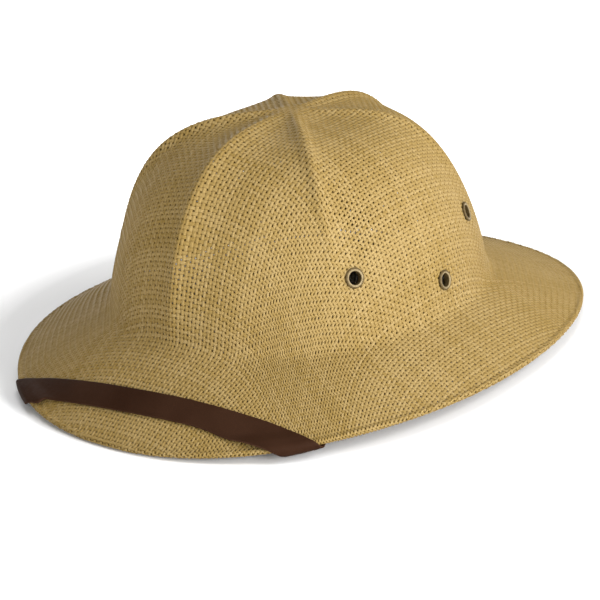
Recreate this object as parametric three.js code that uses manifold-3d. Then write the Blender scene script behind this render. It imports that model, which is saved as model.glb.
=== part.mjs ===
// A pith helmet of woven paper straw: one pressed wall that makes crown and brim, raised ridges that run out from the
// top, an edge turned to a round bead, brass vent eyelets and a flat strap laid across the front of the brim.
// Millimetres. The front is at -Y, the wearer's left at +X, and the helmet rests on its brim at Z = 0.
import * as THREE from "three";
import Module from "manifold-3d";

// Ovals seen from above: half lengths to the front and to the back, half width, and squareness of the curve.
const CREASE = { front: 105.5, back: 110.3, half: 88.7, square: 2.15 }; // where crown meets brim
const EDGE = { front: 160.5, back: 178.9, half: 129.6, square: 2.17 }; // the brim's edge
const CENTRE_BACK = -9.2; // the crown's centre line lies this far back of the middle of the whole
const REST = 1.59; // lifts the lowest point of the bead to the table

// The crown's side view: height of the crease and of the top, and how full the shoulders are.
const CROWN = { crease: 30.5, creaseFront: 2.2, top: 119.8, topBack: -1.2, full: 3.84, fullFront: 0.1, fullEnds: 0.15, flat: 1.36 };
// The brim: how far its edge lifts at the sides, how much more towards the front, and the sag of its slope.
const BRIM = { sideLift: 7.2, frontLift: 2.2, cornerLift: 2.2, sag: 0.08 };
// The bend between crown and brim takes this share of the crown's side and of the brim's width.
const BEND = { crown: 0.08, brim: 0.11, steps: 4 };

// Ridges pressed out of the crown. at: angle from the front at the crease, lean: angle added at the top, share: part of
// RIDGE_HIGH, from and to: where on the way down from the top (0 to 1) the ridge starts to fade and is gone, keen: part
// of its section that is the narrow crest.
const RIDGE_HIGH = 5.4;
const RIDGE_WIDE = 3.6;
const RIDGES = [
  { name: "front", at: 0, lean: 0, share: 1.0, from: 0.5, to: 1.1, keen: 0.3 },
  { name: "left front", at: 51, lean: -8, share: 1.0, from: 0.25, to: 0.75, keen: 0.5 },
  { name: "left back", at: 130, lean: 5, share: 0.6, from: 0.25, to: 0.75, keen: 0.5 },
  { name: "back", at: 180, lean: 0, share: 0.84, from: 0.25, to: 0.75, keen: 0.5 },
  { name: "right back", at: 230, lean: -5, share: 0.6, from: 0.25, to: 0.75, keen: 0.5 },
  { name: "right front", at: 309, lean: 8, share: 1.0, from: 0.25, to: 0.75, keen: 0.5 },
];

const WALL = 1.6; // woven straw
// The brim's edge is turned to a round bead. Its rows: distance inside the edge, and how far it stands out of the wall.
const BEAD = 3.4;
const BEAD_ROWS = [
  { inside: 3.4, proud: 0 },
  { inside: 2.6, proud: 0.64 },
  { inside: 1.7, proud: 0.9 },
];
const GAP = 0.3; // between pieces that touch

// Vent eyelets: angle from the front and place on the way down from the top.
const EYELETS = [
  { name: "front", angle: 54.4, down: 0.67 },
  { name: "middle", angle: 93.8, down: 0.801 },
  { name: "rear", angle: 124.0, down: 0.628 },
];
const EYELET = { flange: 5.15, hole: 3.3, barrel: 3.75, proud: 0.75, sides: 16 };

// The strap: width seen from above on the sloping brim, thickness, and its course over the brim as a shallow arc.
// Towards each end it bends forward, its front half widens by the share flare, and its front edge hangs looser.
const STRAP = { wide: 14.1, wideInPlan: 12.1, thick: 1.0, frontAt: -137.8, slope: 0.066, arc: 0.0012 };
const STRAP_LAY = { bend: 0.003, clear: 2.6, sink: 0.9 };
const STRAP_ENDS = {
  left: { bendFrom: 66, flare: 0.38, flareFrom: 0.4, hang: 1.0 },
  right: { bendFrom: 52, flare: 0.6, flareFrom: 0.78, hang: 0.5 },
};
// Its hidden run from the brim's edge back to the inside of the crown; side is measured towards the wearer's side.
const STRAP_RUN = [
  { side: 72.0, back: -88, high: 13.0 },
  { side: 70.5, back: -50, high: 21.5 },
  { side: 79.0, back: -26, high: 29.0 },
  { side: 84.2, back: -9, high: 33.0 },
  { side: 84.9, back: 6, high: 34.0 },
];

// Columns of the wall's mesh, in degrees from the front on one side; they close up at the ridges.
const COLUMNS = [
  0, 2.5, 5.5, 10, 16, 23, 29, 35, 41, 45.5, 48.5, 51, 53.5, 56.5, 61, 67, 76, 85, 94, 104, 114, 120, 124.5, 127.5,
  130, 132.5, 135.5, 140, 146, 155, 164, 170, 174.5, 177.5, 180,
];
// Rows of the crown's mesh on the way down from the top, and rows of the brim from the bend to the fold.
const CROWN_ROWS = [0.002, 0.012, 0.04, 0.085, 0.15, 0.23, 0.32, 0.42, 0.52, 0.62, 0.72, 0.81];
const BRIM_ROWS = [0.11, 0.36, 0.6, 0.8];

const RAD = Math.PI / 180;
const vec = (x, y, z) => new THREE.Vector3(x, y, z);
const smooth = (from, to, x) => {
  const t = Math.min(1, Math.max(0, (x - from) / (to - from)));
  return t * t * (3 - 2 * t);
};
const turnTo = (angle) => ((((angle + 180) % 360) + 360) % 360) - 180;

// Distance from the centre to an oval, at an angle in degrees from the front.
function oval({ front, back, half, square }, angle) {
  const c = Math.cos(angle * RAD), s = Math.sin(angle * RAD);
  const length = c >= 0 ? front : back;
  return (Math.abs(c / length) ** square + Math.abs(s / half) ** square) ** (-1 / square);
}

// How far the ridges lift the crown at an angle, a place on the way down and a distance from the centre line.
function ridgeLift(angle, down, reach) {
  let level = 1;
  for (const { at, lean, share, from, to, keen } of RIDGES) {
    const off = turnTo(angle - at - lean * (1 - down)) * RAD;
    const side = Math.abs(off) > Math.PI / 2 ? reach * (1 + Math.abs(off) - Math.PI / 2) : reach * Math.sin(off);
    const crest = Math.exp(-((side / RIDGE_WIDE) ** 2)), foot = Math.exp(-((side / (3 * RIDGE_WIDE)) ** 2));
    const bump = keen * crest + (1 - keen) * foot;
    level *= 1 - share * bump * (1 - smooth(from, to, down));
  }
  return RIDGE_HIGH * (1 - level);
}

// A point of the crown's outer face: down is 0 at the top and 1 at the crease.
function crownPoint(angle, down) {
  const c = Math.cos(angle * RAD), s = Math.sin(angle * RAD);
  const radius = oval(CREASE, angle);
  const low = CROWN.crease + CROWN.creaseFront * c;
  const full = CROWN.full + CROWN.fullFront * c + CROWN.fullEnds * Math.cos(2 * angle * RAD);
  const out = Math.sin((down * Math.PI) / 2) ** (2 / full);
  const up = down >= 1 ? 0 : Math.cos((down * Math.PI) / 2) ** (2 / CROWN.flat);
  const slopeOut = (full * Math.max(out, 1e-9) ** (full - 1)) / radius;
  const slopeUp = (CROWN.flat * up ** (CROWN.flat - 1)) / (CROWN.top - low);
  const long = Math.hypot(slopeOut, slopeUp);
  const lift = ridgeLift(angle, down, radius * out);
  const reach = radius * out + (lift * slopeOut) / long;
  return vec(
    s * reach,
    -c * reach + CROWN.topBack * (1 - out) + CENTRE_BACK,
    low + (CROWN.top - low) * up + (lift * slopeUp) / long + REST,
  );
}

// A point of the brim's outer face: across is 0 at the crease and 1 at the edge.
function brimPoint(angle, across) {
  const c = Math.cos(angle * RAD), s = Math.sin(angle * RAD);
  const inner = crownPoint(angle, 1);
  const radius = oval(EDGE, angle);
  const edge = vec(
    s * radius,
    -c * radius + CENTRE_BACK,
    s * s * (BRIM.sideLift + BRIM.frontLift * c) + BRIM.cornerLift * Math.sin(2 * angle * RAD) ** 2 + REST,
  );
  const point = inner.clone().lerp(edge, across);
  point.z = inner.z + (edge.z - inner.z) * (across - BRIM.sag * across * (1 - across));
  return point;
}

// The whole outer face from the top to the bead, as one list of points for a column of the mesh.
function columnPoints(column) {
  const shift = (down) =>
    RIDGES.reduce((sum, { at, lean }) => {
      const near = turnTo(column - at) / 30;
      return sum + lean * (1 - down) * Math.max(0, 1 - near * near) ** 2;
    }, column);
  const points = CROWN_ROWS.map((down) => crownPoint(shift(down), down));
  const start = crownPoint(column, 1 - BEND.crown);
  const corner = crownPoint(column, 1);
  const end = brimPoint(column, BEND.brim);
  points.push(start);
  for (let i = 1; i < BEND.steps; i++) {
    const t = i / BEND.steps;
    points.push(
      start.clone().multiplyScalar((1 - t) ** 2).addScaledVector(corner, 2 * t * (1 - t)).addScaledVector(end, t * t),
    );
  }
  const width = brimWidth(column);
  for (const across of [...BRIM_ROWS, ...BEAD_ROWS.map(({ inside }) => 1 - inside / width)])
    points.push(brimPoint(column, across));
  return points;
}
const brimWidth = (angle) => brimPoint(angle, 1).distanceTo(brimPoint(angle, 0));

// Outward normal of the brim at a point given by angle and share across.
function brimNormal(angle, across) {
  const along = brimPoint(angle + 0.5, across).sub(brimPoint(angle - 0.5, across));
  const outward = brimPoint(angle, across + 0.01).sub(brimPoint(angle, across - 0.01));
  return outward.cross(along).normalize();
}

// The wall as one closed mesh: outer face, round bead and inner face.
function wallGeometry() {
  const angles = [...COLUMNS, ...COLUMNS.slice(1, -1).reverse().map((a) => 360 - a)];
  const outer = angles.map(columnPoints);
  const count = angles.length, rows = outer[0].length;
  const at = (i, j) => outer[(i + count) % count][j];
  const top = crownPoint(0, 0);
  const normals = outer.map((column, i) =>
    column.map((_, j) => {
      const along = at(i + 1, j).clone().sub(at(i - 1, j));
      const down = (j + 1 < rows ? at(i, j + 1) : at(i, j)).clone().sub(j > 0 ? at(i, j - 1) : top);
      return down.cross(along).normalize();
    }),
  );
  const extra = (j) => (j < rows - BEAD_ROWS.length ? 0 : BEAD_ROWS[j - rows + BEAD_ROWS.length].proud);
  const positions = [top.x, top.y, top.z];
  const push = (p) => positions.push(p.x, p.y, p.z);
  for (let j = 0; j < rows; j++)
    for (let i = 0; i < count; i++)
      push(at(i, j).clone().addScaledVector(normals[i][j], extra(j)));
  for (const turn of [50, 90, 130])
    for (let i = 0; i < count; i++) {
      const normal = normals[i][rows - 1];
      const along = at(i + 1, rows - 1).clone().sub(at(i - 1, rows - 1)).normalize();
      const outward = along.clone().cross(normal).normalize();
      const centre = at(i, rows - 1).clone().addScaledVector(normal, -WALL / 2);
      push(
        centre
          .addScaledVector(normal, (Math.cos(turn * RAD) * BEAD) / 2)
          .addScaledVector(outward, (Math.sin(turn * RAD) * BEAD) / 2),
      );
    }
  for (let j = rows - 1; j >= 0; j--)
    for (let i = 0; i < count; i++)
      push(at(i, j).clone().addScaledVector(normals[i][j], -WALL - extra(j)));
  push(vec(top.x, top.y, top.z - WALL));
  const rings = 2 * rows + 3, last = positions.length / 3 - 1;
  const index = [];
  for (let i = 0; i < count; i++) {
    const next = (i + 1) % count;
    index.push(0, 1 + i, 1 + next);
    for (let k = 0; k + 1 < rings; k++) {
      const a = 1 + k * count, b = a + count;
      index.push(a + i, b + i, b + next, a + i, b + next, a + next);
    }
    const end = 1 + (rings - 1) * count;
    index.push(last, end + next, end + i);
  }
  const geometry = new THREE.BufferGeometry();
  geometry.setAttribute("position", new THREE.Float32BufferAttribute(positions, 3));
  geometry.setIndex(index);
  return geometry;
}

const wasm = await Module();
wasm.setup();

// A closed geometry as a solid, and a solid as a geometry.
function solidOf(geometry) {
  const flat = geometry.index ? geometry : geometry.clone();
  return new wasm.Manifold(
    new wasm.Mesh({
      numProp: 3,
      vertProperties: new Float32Array(flat.getAttribute("position").array),
      triVerts: new Uint32Array(flat.index.array),
    }),
  );
}
function geometryOf(solid) {
  const mesh = solid.getMesh();
  const geometry = new THREE.BufferGeometry();
  const positions = [];
  for (let i = 0; i < mesh.vertProperties.length; i += mesh.numProp)
    positions.push(mesh.vertProperties[i], mesh.vertProperties[i + 1], mesh.vertProperties[i + 2]);
  geometry.setAttribute("position", new THREE.Float32BufferAttribute(positions, 3));
  geometry.setIndex([...mesh.triVerts]);
  const faceted = geometry.toNonIndexed();
  faceted.computeVertexNormals();
  return faceted;
}

// A round bar between two heights on Z, closed, with shared corners.
function barGeometry(radius, low, high, sides) {
  const positions = [0, 0, low, 0, 0, high], index = [];
  for (let i = 0; i < sides; i++) {
    const a = (i / sides) * 2 * Math.PI;
    positions.push(radius * Math.cos(a), radius * Math.sin(a), low, radius * Math.cos(a), radius * Math.sin(a), high);
    const here = 2 + 2 * i, next = 2 + 2 * ((i + 1) % sides);
    index.push(0, next, here, 1, here + 1, next + 1, here, next, next + 1, here, next + 1, here + 1);
  }
  const geometry = new THREE.BufferGeometry();
  geometry.setAttribute("position", new THREE.Float32BufferAttribute(positions, 3));
  geometry.setIndex(index);
  return geometry;
}

// Place and direction of each eyelet: the middle of its hole on the outer face, and the face's outward normal.
function eyeletPlace({ angle, down }, side) {
  const here = crownPoint(side * angle, down);
  const along = crownPoint(side * angle + 2, down).sub(crownPoint(side * angle - 2, down));
  const lower = crownPoint(side * angle, down + 0.02).sub(crownPoint(side * angle, down - 0.02));
  const normal = lower.cross(along).normalize();
  const turn = new THREE.Quaternion().setFromUnitVectors(vec(0, 0, 1), normal);
  return { here, normal, turn };
}

const straw = (name) => new THREE.MeshStandardMaterial({ name, color: 0xc7ac72, roughness: 0.85, metalness: 0 });
const leather = new THREE.MeshStandardMaterial({ name: "brown strap", color: 0x432b20, roughness: 0.5, metalness: 0 });
const brass = new THREE.MeshStandardMaterial({ name: "aged brass", color: 0xa58a55, roughness: 0.4, metalness: 0.9 });

const helmet = new THREE.Group();
const add = (name, geometry, material) => {
  const mesh = new THREE.Mesh(geometry, material);
  mesh.name = name;
  helmet.add(mesh);
  return mesh;
};

// The woven wall, with a round hole for each eyelet.
let wall = solidOf(wallGeometry());
for (const side of [1, -1])
  for (const place of EYELETS) {
    const { here, turn } = eyeletPlace(place, side);
    const bar = barGeometry(EYELET.barrel + GAP, -7, 5, EYELET.sides);
    bar.applyQuaternion(turn);
    bar.translate(here.x, here.y, here.z);
    wall = wall.subtract(solidOf(bar));
  }
add("shell", geometryOf(wall), straw("woven paper straw"));

// Eyelets: a rounded flange outside, a barrel through the wall and a flat flange inside, turned about Z.
for (const side of [1, -1])
  for (const place of EYELETS) {
    const { here, turn } = eyeletPlace(place, side);
    const { flange, hole, barrel, proud, sides } = EYELET;
    const under = 0.4, back = -WALL - 0.55;
    const profile = [
      [hole, proud - 0.1], [hole, back - 0.45], [flange - 0.4, back - 0.45], [flange - 0.4, back], [barrel, back],
      [barrel, under], [flange, under], [flange, under + 0.2], [flange - 0.45, proud + 0.3], [hole + 0.5, proud + 0.3],
      [hole, proud - 0.1],
    ].map(([r, z]) => new THREE.Vector2(r, z));
    const geometry = new THREE.LatheGeometry(profile, sides);
    geometry.rotateX(Math.PI / 2); // the profile's height turns from Y to Z
    const mesh = add(`eyelet_${side > 0 ? "left" : "right"}_${place.name}`, geometry, brass.clone());
    mesh.quaternion.copy(turn);
    mesh.position.copy(here);
  }

// The strap. Seen from above it follows a shallow arc; past the brim's edge the same flat strip goes round the bead.
function strapCourse(x) {
  const beyond = Math.max(x - STRAP_ENDS.left.bendFrom, -x - STRAP_ENDS.right.bendFrom, 0);
  return vec(x, STRAP.frontAt + STRAP.slope * x + STRAP.arc * x * x - STRAP_LAY.bend * beyond * beyond + CENTRE_BACK, 0);
}
const strapAhead = (x) => strapCourse(x + 0.5).sub(strapCourse(x - 0.5)).normalize();

// Angle of the edge point nearest to a point seen from above, and the distance inside the edge.
function nearestEdge(x, y) {
  let best = { angle: 0, far: Infinity };
  const measure = (angle) => {
    const p = brimPoint(angle, 1);
    return Math.hypot(p.x - x, p.y - y);
  };
  for (let angle = -60; angle <= 60; angle += 1) {
    const far = measure(angle);
    if (far < best.far) best = { angle, far };
  }
  for (let step = 0.5; step > 0.01; step /= 2)
    for (const angle of [best.angle - step, best.angle + step]) {
      const far = measure(angle);
      if (far < best.far) best = { angle, far };
    }
  const polar = Math.atan2(x, -(y - CENTRE_BACK)) / RAD;
  const inside = Math.hypot(x, y - CENTRE_BACK) <= oval(EDGE, polar) ? 1 : -1;
  return { angle: best.angle, inside: inside * best.far };
}

// Middle of the strap's thickness and its outward normal for a point of the flat strip seen from above. It goes round
// the middle of the bead at the distance clear, and settles on the brim inside the bead.
function strapPoint(x, y, clear) {
  const { angle, inside } = nearestEdge(x, y);
  const share = 1 - BEAD / 2 / brimWidth(angle);
  const normal = brimNormal(angle, share);
  const past = BEAD / 2 - inside / normal.z; // distance beyond the middle of the bead
  if (past <= 0) {
    const polar = Math.atan2(x, -(y - CENTRE_BACK)) / RAD;
    const inner = oval(CREASE, polar);
    const across = (Math.hypot(x, y - CENTRE_BACK) - inner) / (oval(EDGE, polar) - inner);
    const up = brimNormal(polar, across);
    const sink = (STRAP_LAY.sink + clear - STRAP_LAY.clear) * smooth(3.5, 10, inside);
    return { point: brimPoint(polar, across).addScaledVector(up, clear - WALL / 2 - sink), normal: up };
  }
  const along = brimPoint(angle + 0.5, 1).sub(brimPoint(angle - 0.5, 1)).normalize();
  const outward = along.clone().cross(normal).normalize();
  const middle = brimPoint(angle, share).addScaledVector(normal, -WALL / 2);
  const bent = Math.min(past / clear, Math.PI);
  const away = normal.clone().multiplyScalar(Math.cos(bent)).addScaledVector(outward, Math.sin(bent));
  const point = middle.addScaledVector(away, clear);
  if (past / clear > Math.PI) point.addScaledVector(outward, -(past - clear * Math.PI));
  return { point, normal: away };
}

const STRAP_ACROSS = 6; // strips across the strap's width

// Place along the strap where its middle line crosses the middle of the bead, on the left (1) or the right (-1).
function crossing(side) {
  let near = 0, far = side * 130;
  for (let i = 0; i < 24; i++) {
    const x = (near + far) / 2;
    const p = strapCourse(x);
    if (nearestEdge(p.x, p.y).inside > BEAD / 2) near = x;
    else far = x;
  }
  return near;
}
const CROSSING = { left: crossing(1), right: crossing(-1) };
// How far a line across the strap leans so that it runs along the edge of the brim where the strap goes round it.
function leanAt(x) {
  const side = x > 0 ? 1 : -1;
  const end = side > 0 ? CROSSING.left : CROSSING.right;
  const p = strapCourse(end);
  const { angle } = nearestEdge(p.x, p.y);
  const along = brimPoint(angle + 1, 1).sub(brimPoint(angle - 1, 1));
  const ahead = strapAhead(end);
  const lean = (along.x * ahead.x + along.y * ahead.y) / (along.y * ahead.x - along.x * ahead.y);
  return lean * smooth(0.45, 0.92, x / end);
}
function strapStation(x) {
  const here = strapCourse(x);
  const ahead = strapAhead(x);
  const lean = leanAt(x);
  const side = x > 0 ? "left" : "right";
  const { flare, flareFrom, hang } = STRAP_ENDS[side];
  const wider = flare * smooth(flareFrom, 0.25 * flareFrom + 0.75, x / CROSSING[side]);
  const line = [];
  for (let k = 0; k <= STRAP_ACROSS; k++) {
    const share = k / STRAP_ACROSS - 0.5;
    const off = share * STRAP.wideInPlan * (share < 0 ? 1 + wider : 1);
    const clear = STRAP_LAY.clear + hang * (0.5 - share);
    line.push(strapPoint(here.x + (-ahead.y + lean * ahead.x) * off, here.y + (ahead.x + lean * ahead.y) * off, clear));
  }
  return line;
}

// The run under the brim: starts at the last line across the strap and turns upright at the crown's side.
function hiddenRun(line, side) {
  const start = line[STRAP_ACROSS / 2].point;
  const points = [start, ...STRAP_RUN.map((r) => vec(side * r.side, r.back, r.high))];
  const curve = new THREE.CatmullRomCurve3(points, false, "centripetal");
  const startAcross = line[STRAP_ACROSS].point.clone().sub(line[0].point).normalize();
  const endAcross = vec(-0.09 * side, 0.1, 1).normalize();
  const lines = [];
  const steps = 14;
  for (let i = 1; i <= steps; i++) {
    const t = i / steps;
    const middle = curve.getPointAt(t);
    const ahead = curve.getTangentAt(t);
    const across = startAcross.clone().lerp(endAcross, smooth(0, 0.95, t)).normalize();
    across.addScaledVector(ahead, -across.dot(ahead) * smooth(0, 0.35, t)).normalize();
    const normal = across.clone().cross(ahead).multiplyScalar(-side).normalize();
    const width = STRAP.wide / Math.sqrt(1 - across.dot(ahead) ** 2);
    const row = [];
    for (let k = 0; k <= STRAP_ACROSS; k++)
      row.push({ point: middle.clone().addScaledVector(across, (k / STRAP_ACROSS - 0.5) * width), normal });
    lines.push(row);
  }
  return lines;
}

function strapGeometry() {
  const lines = [];
  const places = [];
  for (let k = 8; k > 0; k--) places.push(CROSSING.right - 1.6 * k);
  for (let k = 0; k <= 18; k++) places.push(CROSSING.right + ((CROSSING.left - CROSSING.right) * k) / 18);
  for (let k = 1; k <= 8; k++) places.push(CROSSING.left + 1.6 * k);
  for (const x of places) lines.push(strapStation(x));
  const left = hiddenRun(lines[lines.length - 1], 1);
  const right = hiddenRun(lines[0], -1);
  const all = [...right.reverse(), ...lines, ...left];
  const across = STRAP_ACROSS + 1, ring = 2 * across;
  const positions = [], index = [];
  for (const line of all) {
    for (let k = 0; k < across; k++) {
      const p = line[k].point.clone().addScaledVector(line[k].normal, STRAP.thick / 2);
      positions.push(p.x, p.y, p.z);
    }
    for (let k = across - 1; k >= 0; k--) {
      const p = line[k].point.clone().addScaledVector(line[k].normal, -STRAP.thick / 2);
      positions.push(p.x, p.y, p.z);
    }
  }
  for (let j = 0; j + 1 < all.length; j++)
    for (let k = 0; k < ring; k++) {
      const a = j * ring + k, b = j * ring + ((k + 1) % ring), c = a + ring, d = b + ring;
      index.push(a, c, d, a, d, b);
    }
  for (const base of [0, (all.length - 1) * ring])
    for (let k = 0; k + 1 < across; k++) {
      const a = base + k, b = base + k + 1, c = base + ring - 1 - k, d = base + ring - 2 - k;
      if (base === 0) index.push(a, b, d, a, d, c);
      else index.push(a, d, b, a, c, d);
    }
  const geometry = new THREE.BufferGeometry();
  geometry.setAttribute("position", new THREE.Float32BufferAttribute(positions, 3));
  geometry.setIndex(index);
  let solid = solidOf(geometry);
  if (solid.volume() < 0) {
    for (let i = 0; i < index.length; i += 3) [index[i + 1], index[i + 2]] = [index[i + 2], index[i + 1]];
    geometry.setIndex(index);
    solid = solidOf(geometry);
  }
  return geometryOf(solid);
}
add("chin_strap", strapGeometry(), leather);

export default helmet;
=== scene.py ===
"""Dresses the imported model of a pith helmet: every thread of its woven straw, its strap and its vent eyelets.

Sizes inside the classes are in millimetres and degrees, and meshes are made in metres. The frame is that of
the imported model: front at -Y, the wearer's left at +X, +Z up, resting at Z = 0.
"""
import sys

import logging
import math
from dataclasses import dataclass
from enum import Enum

import bpy
import numpy as np
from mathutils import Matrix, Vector


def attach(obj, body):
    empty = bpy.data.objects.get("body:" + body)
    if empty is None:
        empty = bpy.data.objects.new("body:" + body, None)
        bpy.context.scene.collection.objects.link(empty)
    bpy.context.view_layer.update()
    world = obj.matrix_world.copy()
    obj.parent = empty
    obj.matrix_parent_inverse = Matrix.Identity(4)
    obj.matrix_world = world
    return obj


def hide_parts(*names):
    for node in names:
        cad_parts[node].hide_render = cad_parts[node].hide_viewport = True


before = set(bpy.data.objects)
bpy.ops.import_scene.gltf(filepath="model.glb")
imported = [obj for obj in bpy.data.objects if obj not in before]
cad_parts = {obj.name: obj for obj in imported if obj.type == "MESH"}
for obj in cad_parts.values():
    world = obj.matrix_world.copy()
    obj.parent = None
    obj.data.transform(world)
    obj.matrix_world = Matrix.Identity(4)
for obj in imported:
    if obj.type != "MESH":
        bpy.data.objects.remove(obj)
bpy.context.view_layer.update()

MM = 0.001
LOG = logging.getLogger("helmet")
Array = np.ndarray


class Slot(Enum):
    """Material slots of the record."""

    STRAW = "straw"
    STRAP = "strap"
    EYELET = "eyelet"


class Side(Enum):
    """The wearer's sides, as signs of X."""

    LEFT = 1
    RIGHT = -1


def smooth(start: float, end: float, x: Array) -> Array:
    """Rises smoothly from 0 to 1 while x goes from start to end."""
    t = np.clip((np.asarray(x, float) - start) / (end - start), 0, 1)
    return t * t * (3 - 2 * t)


def unit(v: Array) -> Array:
    """Scales vectors along the last axis to length one."""
    return v / np.maximum(np.linalg.norm(v, axis=-1, keepdims=True), 1e-12)


def lengths_along(line: Array) -> Array:
    """Gives how far along a line each of its points is."""
    return np.concatenate([[0], np.cumsum(np.linalg.norm(np.diff(line, axis=0), axis=1))])


def points_along(wanted: Array, lengths: Array, line: Array) -> Array:
    """Gives points of a line at the wanted lengths, where `lengths` holds those of its own points."""
    return np.stack([np.interp(wanted, lengths, line[:, i]) for i in range(3)], -1)


def rounded_line(knots: Array, steps: int) -> Array:
    """Draws a smooth line through points, without overshoot.

    Args:
        knots: the points.
        steps: pieces of line between two points.

    Returns:
        Points of the line.
    """
    ends = [2 * knots[0] - knots[1], *knots, 2 * knots[-1] - knots[-2]]
    line = [knots[:1]]
    for p0, p1, p2, p3 in zip(ends, ends[1:], ends[2:], ends[3:]):
        d0, d1, d2 = (math.sqrt(max(np.linalg.norm(b - a), 1e-6)) for a, b in ((p0, p1), (p1, p2), (p2, p3)))
        t1 = ((p1 - p0) / d0 - (p2 - p0) / (d0 + d1) + (p2 - p1) / d1) * d1
        t2 = ((p2 - p1) / d1 - (p3 - p1) / (d1 + d2) + (p3 - p2) / d2) * d1
        t = np.linspace(0, 1, steps + 1)[1:, None]
        curve = (-3 * p1 + 3 * p2 - 2 * t1 - t2) * t**2 + (2 * p1 - 2 * p2 + t1 + t2) * t**3
        line.append(p1 + t1 * t + curve)
    return np.concatenate(line)


def direction(azimuth: float, elevation: float) -> Vector:
    """Gives the direction from the helmet to a place seen at these degrees."""
    a, e = math.radians(azimuth), math.radians(elevation)
    return Vector((math.sin(a) * math.cos(e), -math.cos(a) * math.cos(e), math.sin(e)))


@dataclass(frozen=True)
class Oval:
    """An oval seen from above: half lengths to front and back, half width, squareness of its curve."""

    front: float
    back: float
    half: float
    square: float

    def radius(self, angle: Array) -> Array:
        """Gives the distance from the centre to the oval.

        Args:
            angle: degrees from the front.

        Returns:
            Distances in millimetres.
        """
        a = np.radians(angle)
        c, s = np.cos(a), np.sin(a)
        length = np.where(c >= 0, self.front, self.back)
        total = np.abs(c / length) ** self.square + np.abs(s / self.half) ** self.square
        return total ** (-1 / self.square)


@dataclass(frozen=True)
class Ridge:
    """A pressed ridge: its angle at the crease, its lean by the top, its share of the full height.

    On the way down the crown it fades from `fades` to `gone`. `keen` is the crest's share of its section.
    """

    at: float
    lean: float
    share: float
    fades: float
    gone: float
    keen: float = 0.5


@dataclass(frozen=True)
class WallSizes:
    """Sizes of the pressed wall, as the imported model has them."""

    crease: Oval = Oval(105.5, 110.3, 88.7, 2.15)
    edge: Oval = Oval(160.5, 178.9, 129.6, 2.17)
    centre_back: float = -9.2
    rest: float = 1.59
    crease_high: float = 30.5
    crease_front: float = 2.2
    top: float = 119.8
    top_back: float = -1.2
    full: float = 3.84
    full_front: float = 0.1
    full_ends: float = 0.15
    flat: float = 1.36
    side_lift: float = 7.2
    front_lift: float = 2.2
    corner_lift: float = 2.2
    sag: float = 0.08
    bend_crown: float = 0.08
    bend_brim: float = 0.11
    ridge_high: float = 5.4
    ridge_wide: float = 3.6
    wall: float = 1.6
    fold_thick: float = 3.4
    ridges: tuple[Ridge, ...] = (
        Ridge(0, 0, 1.0, 0.5, 1.1, 0.3),
        Ridge(51, -8, 1.0, 0.25, 0.75),
        Ridge(130, 5, 0.6, 0.25, 0.75),
        Ridge(180, 0, 0.84, 0.25, 0.75),
        Ridge(230, -5, 0.6, 0.25, 0.75),
        Ridge(309, 8, 1.0, 0.25, 0.75),
    )


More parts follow.
